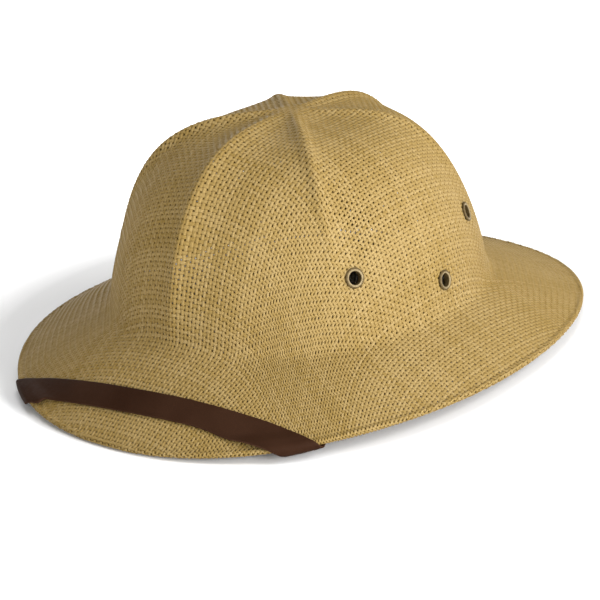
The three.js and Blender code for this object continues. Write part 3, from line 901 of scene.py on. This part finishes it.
class Weave:
    """The straw cloth: a net of threads of fixed spacing laid over the wall, each thread a mesh tube.

    The net is laid a spare length past the rim. Each crossing is found in a few tries, each a short step,
    from the wall's slope over a probe. YARN_START and WAVE_START set each thread's own start in its twist and in
    the slow change of its tone, which WAVE_STEP moves on from place to place.
    """

    SPARE = 12
    TRIES = 6
    PROBE = 0.4
    LONGEST = 0.8
    YARN_START = 37
    WAVE_START = 40
    WAVE_STEP = 0.05
    PIECES = {
        Family.WARP: ("warp_right", "warp_middle", "warp_left"),
        Family.WEFT: ("weft_back", "weft_middle", "weft_front"),
    }

    def __init__(self, form: WallForm, eyelets: Eyelets, sizes: WeaveSizes) -> None:
        """Lays the net.

        Args:
            form: the wall's surface.
            eyelets: the eyelets, whose holes the threads stop at.
            sizes: the weave's sizes.
        """
        self.form = form
        self.eyelets = eyelets
        self.sizes = sizes
        self.random = np.random.default_rng(sizes.seed)
        front, back = self._quarter(1), self._quarter(-1)
        half = np.concatenate([back[:, :0:-1], front], 1)
        mirrored = half[:0:-1] * np.array([-1.0, 1.0])
        self.net = np.concatenate([mirrored, half], 0)

    def _pitch(self, place: Array) -> tuple[Array, Array]:
        """Gives the spacing of the threads, which the pressing has drawn together or apart.

        Args:
            place: places in the chart.

        Returns:
            The spacing across and the spacing along the helmet.
        """
        k = self.sizes
        reach = np.maximum(np.hypot(place[..., 0], place[..., 1]), 1e-6)
        side, fore = np.abs(place[..., 0]) / reach, np.abs(place[..., 1]) / reach
        across = k.pitch_across - k.brim_closer * fore * smooth(*k.brim_zone, reach)
        along = k.pitch_along + k.side_wider * side**6 * smooth(*k.side_zone, reach)
        return across, along - k.corner_closer * (2 * side * fore) ** 2 * smooth(*k.corner_zone, reach)

    def _quarter(self, sign: int) -> Array:
        """Lays a quarter of the net: each crossing one pitch from the two before it.

        Args:
            sign: 1 for the front, -1 for the back.

        Returns:
            Places of the crossings in the chart, by thread to the left and by thread to front or back.
        """
        k, form = self.sizes, self.form
        ni = int(form.rim[int(90 / form.TURN)] + self.SPARE) // 2
        nj = int((form.rim.max() + self.SPARE) / k.pitch_along) + 2
        net = np.full((ni, nj, 2), np.nan)
        net[0, 0] = 0
        for i in range(1, ni):
            net[i, 0] = net[i - 1, 0] + [self._pitch(net[i - 1, 0])[0], 0]
        for j in range(1, nj):
            net[0, j] = net[0, j - 1] + [0, sign * self._pitch(net[0, j - 1])[1]]
        for total in range(2, ni + nj - 1):
            i = np.arange(max(1, total - nj + 1), min(ni, total))
            j = total - i
            beside, before, corner = net[i - 1, j], net[i, j - 1], net[i - 1, j - 1]
            ok = ~np.isnan(beside + before + corner).any(-1)
            ok &= form.inside_rim(beside + before - corner) > 1 - self.SPARE
            if ok.any():
                net[i[ok], j[ok]] = self._crossing(beside[ok], before[ok], corner[ok])
        return net

    def _crossing(self, beside: Array, before: Array, corner: Array) -> Array:
        """Finds the crossings that are one pitch from the two before them.

        Args:
            beside: the crossing before each on the thread from side to side.
            before: the crossing before it on the thread fore and aft.
            corner: the crossing before both of these.

        Returns:
            Places in the chart.
        """
        form, h = self.form, self.PROBE
        ends = form.at(beside, False), form.at(before, False)
        place = beside + before - corner
        pitch = self._pitch(place)
        for _ in range(self.TRIES):
            here = form.at(place, False)
            probes = np.array([[h, 0], [0, h]])
            slopes = [(form.at(place + p, False) - form.at(place - p, False)) / (2 * h) for p in probes]
            gaps = [here - end for end in ends]
            miss = np.stack([(gap**2).sum(-1) - want**2 for gap, want in zip(gaps, pitch)], -1)
            rates = 2 * np.stack([np.stack([(gap * s).sum(-1) for s in slopes], -1) for gap in gaps], -2)
            step = np.linalg.solve(rates + np.eye(2) * 1e-9, miss[..., None])[..., 0]
            long = np.linalg.norm(step, axis=-1, keepdims=True)
            place = place - step * np.minimum(1, self.LONGEST / np.maximum(long, 1e-9))
        return place

    def _threads(self, family: Family) -> tuple[Array, Array, Array, Array, Array]:
        """Works out one set of threads at crossings and halfway between them.

        Args:
            family: the set.

        Returns:
            Centre points, directions across, normals, half widths, how far inside the cloth's end each is.
        """
        k = self.sizes
        if family is Family.WARP:
            net, sign, full, pitch = self.net, 1, k.full_warp, k.pitch_across
        else:
            net, sign, full, pitch = self.net.transpose(1, 0, 2), -1, k.full_weft, k.pitch_along
        count, long = net.shape[:2]
        place = np.full((count, 2 * long - 1, 2), np.nan)
        place[:, ::2] = net
        place[:, 1::2] = (net[:, 1:] + net[:, :-1]) / 2
        bad = np.isnan(place[..., 0])
        safe = np.where(bad[..., None], 1.0, place)
        normal, face = self.form.normal(safe), self.form.at(safe)
        i, j = np.meshgrid(np.arange(count), np.arange(long), indexing="ij")
        crimp = np.zeros(place.shape[:2])
        crimp[:, ::2] = sign * k.crimp * np.where((i + j) % 2 == 0, 1, -1)
        middle = -(k.crimp + k.above)
        centre = face + normal * (middle + crimp)[..., None]
        flat = face + normal * middle
        ahead = np.zeros_like(flat)
        ahead[:, 1:-1] = flat[:, 2:] - flat[:, :-2]
        ahead = unit(ahead)
        gap = np.zeros_like(flat)
        gap[1:-1] = (flat[2:] - flat[:-2]) / 2
        spacing = np.linalg.norm(np.cross(ahead, gap), axis=-1)
        across = unit(np.cross(normal, ahead))
        width = np.minimum(pitch * k.widest, spacing) * full
        for p in k.open_places:
            width = width * (1 - p.lost * np.exp(-((safe - [p.left, p.front]) ** 2).sum(-1) / p.reach**2))
        width = width * self.random.normal(1, k.uneven_thread, (count, 1))
        width = width * self.random.normal(1, k.uneven_place, width.shape)
        width[:, 1::2] *= k.waist
        drift = self.random.normal(0, k.astray_thread, (count, 1))
        drift = drift + self.random.normal(0, k.astray_place, width.shape)
        drift[:, 1::2] += k.slant * np.sign(crimp[:, :-1:2])
        centre = centre + across * drift[..., None]
        inside = np.minimum(self.form.inside_rim(safe) + k.turned, self.eyelets.clear(face))
        neighbour = np.zeros_like(bad)
        neighbour[1:-1] = bad[2:] | bad[:-2]
        neighbour[:, 1:-1] |= bad[:, 2:] | bad[:, :-2]
        neighbour[[0, -1]] = True
        neighbour[:, [0, -1]] = True
        inside = np.where(bad | neighbour, -9.0, inside)
        return centre, across, normal, width / 2, inside

    def build(self, material: bpy.types.Material) -> None:
        """Makes the pieces of the cloth.

        Args:
            material: their finish.
        """
        for family in Family:
            centre, across, normal, half, inside = self._threads(family)
            good = inside > 0
            share = np.cumsum(good.sum(1)) / good.sum()
            for number, name in enumerate(self.PIECES[family]):
                part = (share > number / 3) & (share <= (number + 1) / 3 + 1e-9)
                rows = np.flatnonzero(part & (good.sum(1) > 1))
                piece = PieceMesh()
                for row, thread in enumerate(rows):
                    data = centre[thread], across[thread], normal[thread], half[thread], inside[thread]
                    self._thread(piece, data, row / len(rows), (row + 0.9) / len(rows))
                piece.make(name, material, ["shell"])

    def _thread(self, piece: PieceMesh, data: tuple[Array, ...], low: float, high: float) -> None:
        """Adds one thread, in as many runs as the vents cut it into.

        Args:
            piece: the mesh that it goes into.
            data: centre, direction across, normal, half width and how far inside, at each place along.
            low: where the thread's row on the texture starts.
            high: where that row ends.
        """
        k = self.sizes
        centre, across, normal, half, inside = data
        good = inside > 0
        edges = np.flatnonzero(np.diff(np.concatenate([[0], good.astype(int), [0]])))
        section = (1, -k.below), (k.top_share, k.above), (-k.top_share, k.above), (-1, -k.below)
        base = self.random.uniform(0, 1)
        total = len(centre)
        for start, stop in zip(edges[::2], edges[1::2]):
            if stop - start < 2 or start == 0 or stop >= total:
                continue
            at = np.arange(start - 1, stop + 1).astype(float)
            at[0] = start - inside[start] / (inside[start] - inside[start - 1])
            at[-1] = stop - 1 + inside[stop - 1] / (inside[stop - 1] - inside[stop])
            floor = np.minimum(np.floor(at).astype(int), total - 2)
            part = (at - floor)[:, None]
            c, a, n = (v[floor] * (1 - part) + v[floor + 1] * part for v in (centre, across, normal))
            h = (half[floor] * (1 - part[:, 0]) + half[floor + 1] * part[:, 0])[:, None]
            rings = np.stack([c + a * h * out + n * up for out, up in section], 1)
            wave = k.tone_wave * np.sin(at * self.WAVE_STEP + self.WAVE_START * base)
            tone = base + (wave + self.random.normal(0, k.tone_spread, len(at)))
            cell = np.array([[at[0] / total, low], [at[-1] / total, high]])
            piece.tube(rings, cell, tone[:, None], lengths_along(c) + self.YARN_START * base)


@dataclass(frozen=True)
class StrapEnd:
    """How the strap lies towards one end.

    Its course bends back beyond `bend_from`. From the share `flare_from` of the way to the brim's edge on,
    its front half grows by the share `flare`. `hang` is how much further off the bead its back edge goes.
    """

    bend_from: float
    flare: float
    flare_from: float
    hang: float


@dataclass(frozen=True)
class RoutePoint:
    """A point of the hidden run: to the side, back and up."""

    side: float
    back: float
    high: float


@dataclass(frozen=True)
class StrapSizes:
    """The strap's sizes and course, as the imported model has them."""

    wide: float = 14.1
    wide_in_plan: float = 12.1
    thick: float = 1.0
    front_at: float = -137.8
    slope: float = 0.066
    arc: float = 0.0012
    bend: float = 0.003
    clear: float = 2.6
    sink: float = 0.9
    sink_zone: tuple[float, float] = (3.5, 10)
    lean_zone: tuple[float, float] = (0.45, 0.92)
    flare_zone: float = 0.75
    left: StrapEnd = StrapEnd(66.0, 0.38, 0.4, 1.0)
    right: StrapEnd = StrapEnd(52.0, 0.6, 0.78, 0.5)
    round_edge: float = 12.8
    hidden: tuple[RoutePoint, ...] = (
        RoutePoint(72.0, -88.0, 13.0),
        RoutePoint(70.5, -50.0, 21.5),
        RoutePoint(79.0, -26.0, 29.0),
        RoutePoint(84.2, -9.0, 33.0),
        RoutePoint(84.9, 6.0, 34.0),
    )


class Strap:
    """The flat strap over the front of the brim, round its edge at both ends and back under to the crown.

    Its section has FACE points on each face, which reach FLAT of the width; the upper face is ARCHED, and CORNER
    rounds the edge. EDGE is where the brim's edge is looked at, in degrees, and OUTSIDE lies past it.
    """

    FACE = 15
    FLAT = 0.465
    ARCHED = 0.05
    CORNER = ((0.487, 0.40), (0.498, 0.15), (0.498, -0.15), (0.487, -0.40))
    BATCH = 400
    HALVINGS = 24
    EDGE = (-75, 75, 0.02)
    OUTSIDE = 130.0
    NEAR_EDGE = 6
    NEAR_STEPS = 12
    TURN_STEPS = 24
    MIDDLE_STEPS = 130
    HIDDEN_STEPS = 70
    LINE_STEPS = 60

    def __init__(self, form: WallForm, sizes: StrapSizes) -> None:
        """Finds where the strap crosses the brim's edge.

        Args:
            form: the wall's surface.
            sizes: the strap's sizes.
        """
        self.form = form
        self.sizes = sizes
        self.edge_angles = np.arange(*self.EDGE)
        self.edge = form.brim(self.edge_angles, 1.0)
        self.section = self._section()
        self.ends = {side: self._crossing(side) for side in Side}

    @staticmethod
    def _section() -> Array:
        """Draws the strap's section.

        Returns:
            Shares of the width and of the thickness, round the section from the top.
        """
        flat = np.linspace(-Strap.FLAT, Strap.FLAT, Strap.FACE)
        top = [(x, 0.5 + Strap.ARCHED * (1 - (2 * x) ** 2)) for x in flat]
        low = [(-x, -0.5) for x, _ in top]
        return np.array([*top, *Strap.CORNER, *low, *[(-x, -y) for x, y in Strap.CORNER]])

    def _course(self, x: Array) -> Array:
        """Gives the strap's middle line seen from above.

        Args:
            x: places to the wearer's left.

        Returns:
            Points of two numbers.
        """
        k = self.sizes
        x = np.asarray(x, float)
        beyond = np.maximum(np.maximum(x - k.left.bend_from, -x - k.right.bend_from), 0)
        back = k.front_at + k.slope * x + k.arc * x * x - k.bend * beyond**2
        return np.stack([x, back + self.form.sizes.centre_back], -1)

    def _ahead(self, x: Array) -> Array:
        """Gives the direction of the strap's middle line seen from above."""
        return unit(self._course(np.asarray(x, float) + 0.5) - self._course(np.asarray(x, float) - 0.5))

    def _polar(self, plan: Array) -> tuple[Array, Array]:
        """Gives degrees from the front and distances from the centre line, of points seen from above."""
        back = plan[..., 1] - self.form.sizes.centre_back
        return np.degrees(np.arctan2(plan[..., 0], -back)), np.hypot(plan[..., 0], back)

    def _nearest(self, plan: Array) -> tuple[Array, Array]:
        """Finds the nearest point of the brim's edge.

        Args:
            plan: points seen from above.

        Returns:
            Angles of the nearest edge points, and distances inside the edge.
        """
        flat = plan.reshape(-1, 2)
        angle, far = np.empty(len(flat)), np.empty(len(flat))
        for start in range(0, len(flat), self.BATCH):
            some = slice(start, start + self.BATCH)
            gap = np.hypot(*(flat[some, None, axis] - self.edge[None, :, axis] for axis in (0, 1)))
            best = gap.argmin(1)
            angle[some], far[some] = self.edge_angles[best], gap.min(1)
        polar, reach = self._polar(flat)
        inner = reach <= self.form.sizes.edge.radius(polar)
        return angle.reshape(plan.shape[:-1]), np.where(inner, far, -far).reshape(plan.shape[:-1])

    def _crossing(self, side: Side) -> float:
        """Finds where the strap's middle line crosses the middle of the turned edge.

        Args:
            side: which end.

        Returns:
            The place to the wearer's left.
        """
        near, far = 0.0, side.value * self.OUTSIDE
        for _ in range(self.HALVINGS):
            x = (near + far) / 2
            if self._nearest(self._course(x)[None])[1][0] > self.form.sizes.fold_thick / 2:
                near = x
            else:
                far = x
        return near

    def _points(self, plan: Array, clear: Array) -> tuple[Array, Array]:
        """Lays points of the flat strip on the brim and round its edge.

        Args:
            plan: points seen from above.
            clear: how far from the middle of the bead each goes round it.

        Returns:
            Middles of the strap's thickness, and its outward normals.
        """
        form, k, w = self.form, self.sizes, self.form.sizes
        half = w.fold_thick / 2
        angle, inside = self._nearest(plan)
        share = 1 - half / form.brim_width(angle)
        normal, out = form.brim_frame(angle, share)
        past = half - inside / normal[..., 2]
        polar, reach = self._polar(plan)
        inner = w.crease.radius(polar)
        across = (reach - inner) / (w.edge.radius(polar) - inner)
        up, _ = form.brim_frame(polar, across)
        high = clear - w.wall / 2 - (k.sink + clear - k.clear) * smooth(*k.sink_zone, inside)
        on = form.brim(polar, across) + up * high[..., None]
        centre = form.brim(angle, share) - normal * w.wall / 2
        bent = np.clip(past / clear, 0, math.pi)[..., None]
        away = normal * np.cos(bent) + out * np.sin(bent)
        round_edge = centre + away * clear[..., None] - out * np.maximum(past - clear * math.pi, 0)[..., None]
        on_top = (past <= 0)[..., None]
        return np.where(on_top, on, round_edge), np.where(on_top, up, away)

    def _lean(self, x: Array) -> Array:
        """Gives how far lines across the strap lean to run along the edge where it goes round.

        Args:
            x: places to the wearer's left.

        Returns:
            The lean at each place.
        """
        k = self.sizes
        lean = np.zeros_like(x)
        for side in Side:
            end = self.ends[side]
            angle = self._nearest(self._course(end)[None])[0][0]
            along = self.form.brim(angle + 1, 1.0) - self.form.brim(angle - 1, 1.0)
            ahead = self._ahead(end)
            full = (along[0] * ahead[0] + along[1] * ahead[1]) / (along[1] * ahead[0] - along[0] * ahead[1])
            lean = np.where(x * side.value > 0, full * smooth(*k.lean_zone, x / end), lean)
        return lean

    def _stations(self, x: Array) -> Array:
        """Makes sections over the brim and round its edge.

        Args:
            x: places to the wearer's left.

        Returns:
            Points by place along and by place round the section.
        """
        k = self.sizes
        here = self._course(x)
        ahead, lean = self._ahead(x), self._lean(x)
        step = np.stack([-ahead[:, 1] + lean * ahead[:, 0], ahead[:, 0] + lean * ahead[:, 1]], -1)
        share = self.section[None, :, 0]
        near = np.where(x > 0, x / self.ends[Side.LEFT], x / self.ends[Side.RIGHT])[:, None]
        left = (x > 0)[:, None]
        start = np.where(left, k.left.flare_from, k.right.flare_from)
        grown = smooth(0, 1, (near - start) / (k.flare_zone * (1 - start)))
        flare = 1 + np.where(left, k.left.flare, k.right.flare) * grown * (share < 0)
        plan = here[:, None] + step[:, None] * (share * flare)[..., None] * k.wide_in_plan
        hang = np.where(left, k.left.hang, k.right.hang)
        middle, normal = self._points(plan, k.clear + hang * (0.5 - share))
        return middle + normal * self.section[None, :, 1:] * k.thick

    def _hidden(self, last: Array, side: Side) -> Array:
        """Makes sections of the run under the brim, up to the inside of the crown.

        Args:
            last: the section where the run starts.
            side: which end.

        Returns:
            Points by place along and by place round the section.
        """
        k = self.sizes
        mid = self.FACE // 2
        start = last[[mid, self.FACE + len(self.CORNER) + mid]].mean(0)
        knots = np.array([start, *[(side.value * p.side, p.back, p.high) for p in k.hidden]])
        line = rounded_line(knots, self.LINE_STEPS)
        length = lengths_along(line)
        t = np.arange(1, self.HIDDEN_STEPS + 1) / self.HIDDEN_STEPS
        middle = points_along(t * length[-1], length, line)
        ahead = unit(np.gradient(np.concatenate([[start], middle]), axis=0))[1:]
        first = unit(last[self.FACE - 1] - last[0])
        sewn = unit(np.array([-0.09 * side.value, 0.1, 1.0]))
        turn = smooth(0, 0.95, t)[:, None]
        across = unit(first * (1 - turn) + sewn * turn)
        across = unit(across - ahead * ((across * ahead).sum(-1) * smooth(0, 0.35, t))[:, None])
        normal = unit(np.cross(across, ahead)) * -side.value
        wide = k.wide / np.sqrt(1 - (across * ahead).sum(-1) ** 2)
        offset = across[:, None] * self.section[None, :, :1] * wide[:, None, None]
        return middle[:, None] + offset + normal[:, None] * self.section[None, :, 1:] * k.thick

    def build(self, material: bpy.types.Material) -> None:
        """Makes the strap, with sections close together where it nears the brim's edge and goes round it.

        Args:
            material: its finish.
        """
        left, right = self.ends[Side.LEFT], self.ends[Side.RIGHT]
        beyond, near, n = self.sizes.round_edge, self.NEAR_EDGE, self.TURN_STEPS
        x = np.concatenate(
            [
                right - beyond * (1 - np.arange(n) / n),
                np.linspace(right, right + near, self.NEAR_STEPS, endpoint=False),
                np.linspace(right + near, left - near, self.MIDDLE_STEPS, endpoint=False),
                np.linspace(left - near, left, self.NEAR_STEPS, endpoint=False),
                left + beyond * np.arange(n + 1) / n,
            ]
        )
        over = self._stations(x)
        ends = self._hidden(over[0], Side.RIGHT), self._hidden(over[-1], Side.LEFT)
        rings = np.concatenate([ends[0][::-1], over, ends[1]])
        long = lengths_along(rings.mean(1))
        LOG.info("strap length %.0f mm from sewn end to sewn end", long[-1])
        piece = PieceMesh()
        rubbed = smooth(0.44, 0.5, np.abs(self.section[:, 0]))
        piece.tube(rings, np.array([[0.01, 0.01], [0.99, 0.99]]), rubbed, long)
        piece.make("leather_strap", material, ["chin_strap"])


@dataclass(frozen=True)
class Viewpoint:
    """The photograph's view: direction in degrees, roll, what it is aimed at, distance and lens."""

    azimuth: float = 36.906
    elevation: float = 20.988
    roll: float = -2.301
    aim_across: float = -0.072
    aim_back: float = -9.2
    aim_high: float = 22.04
    distance: float = 1255.227
    lens: float = 144.355

    def build(self) -> None:
        """Makes the camera and gives it to the scene."""
        a, e, r = (math.radians(v) for v in (self.azimuth, self.elevation, self.roll))
        towards = direction(self.azimuth, self.elevation)
        right = Vector((math.cos(a), math.sin(a), 0))
        up = Vector((-math.sin(a) * math.sin(e), math.cos(a) * math.sin(e), math.cos(e)))
        x = right * math.cos(r) + up * math.sin(r)
        y = up * math.cos(r) - right * math.sin(r)
        back = self.aim_back + self.aim_across * math.sin(a)
        aim = Vector((self.aim_across * math.cos(a), back, self.aim_high))
        camera = bpy.data.objects.new("camera", bpy.data.cameras.new("camera"))
        camera.data.lens = self.lens
        camera.data.sensor_width = 36
        camera.data.sensor_fit = "HORIZONTAL"
        camera.data.clip_start = 0.05
        camera.data.clip_end = 50
        matrix = camera.matrix_world.copy()
        for column, vector in enumerate((x, y, towards, (aim + towards * self.distance) * MM)):
            for row in range(3):
                matrix[row][column] = vector[row]
        camera.matrix_world = matrix
        bpy.context.scene.collection.objects.link(camera)
        bpy.context.scene.camera = camera


@dataclass(frozen=True)
class SoftLight:
    """A soft white light: direction in degrees, distance and size in metres, power in watts."""

    name: str
    azimuth: float
    elevation: float
    distance: float
    size: float
    power: float

    def build(self) -> None:
        """Makes the light, turned to the helmet."""
        towards = direction(self.azimuth, self.elevation)
        light = bpy.data.lights.new(self.name, "AREA")
        light.shape = "DISK"
        light.size = self.size
        light.energy = self.power
        lamp = bpy.data.objects.new(self.name, light)
        lamp.location = towards * self.distance + Vector((0, 0, 0.06))
        lamp.rotation_euler = towards.to_track_quat("Z", "Y").to_euler()
        lamp.visible_camera = False
        bpy.context.scene.collection.objects.link(lamp)


@dataclass(frozen=True)
class Studio:
    """A pale floor that glows from some way out on, an even pale surround and soft lights."""

    floor_size: float = 8.0
    floor_grey: float = 0.88
    floor_pale: float = 0.93
    glow_from: float = 0.168
    glow_full: float = 0.24
    surround: float = 0.31
    glow: float = 0.9
    lights: tuple[SoftLight, ...] = (
        SoftLight("key", 80, 14, 1.6, 0.8, 29.0),
        SoftLight("side", 110, 36, 1.6, 0.8, 15.5),
        SoftLight("front", 18, 14, 1.6, 0.8, 9.0),
        SoftLight("top", 60, 85, 1.8, 1.2, 10.0),
        SoftLight("back", 235, 14, 1.6, 0.8, 6.0),
    )

    def build(self) -> None:
        """Makes floor, surround and lights, and sets how light becomes colour."""
        scene = bpy.context.scene
        scene.view_settings.view_transform = "Standard"
        scene.world = bpy.data.worlds.new("surround")
        scene.world.use_nodes = True
        sky = scene.world.node_tree.nodes["Background"]
        sky.inputs[0].default_value = (1, 1, 1, 1)
        sky.inputs[1].default_value = self.surround
        half = self.floor_size / 2
        mesh = bpy.data.meshes.new("floor")
        corners = [(half * x, half * y, 0) for x, y in ((-1, -1), (1, -1), (1, 1), (-1, 1))]
        mesh.from_pydata(corners, [], [(0, 1, 2, 3)])
        s = Shader("pale floor")
        place = s.place()
        mottle = s.range(s.noise(place, 3.0, 3.0, 0.5), 0.3, 0.7, 0.985, 1.0)
        away = s.node("VectorMath", {0: place}, operation="LENGTH").outputs["Value"]
        s.dress(
            {
                "Base Color": s.mix(mottle, (*[self.floor_grey] * 3, 1), (*[self.floor_pale] * 3, 1)),
                "Roughness": 0.75,
                "Emission Color": (1, 1, 1, 1),
                "Emission Strength": s.range(away, self.glow_from, self.glow_full, 0.0, self.glow),
            }
        )
        mesh.materials.append(s.material)
        floor = bpy.data.objects.new("floor", mesh)
        scene.collection.objects.link(floor)
        for light in self.lights:
            light.build()


def main() -> None:
    """Builds the view, the studio and the helmet's pieces, in that order."""
    logging.basicConfig(level=logging.INFO, format="%(message)s", stream=sys.stdout)
    Viewpoint().build()
    Studio().build()
    form = WallForm(WallSizes())
    eyelets = Eyelets(form, EyeletSizes())
    eyelets.build(BrassFinish().material())
    Weave(form, eyelets, WeaveSizes()).build(StrawFinish().material())
    Strap(form, StrapSizes()).build(StrapFinish().material())


if __name__ == "__main__":
    main()
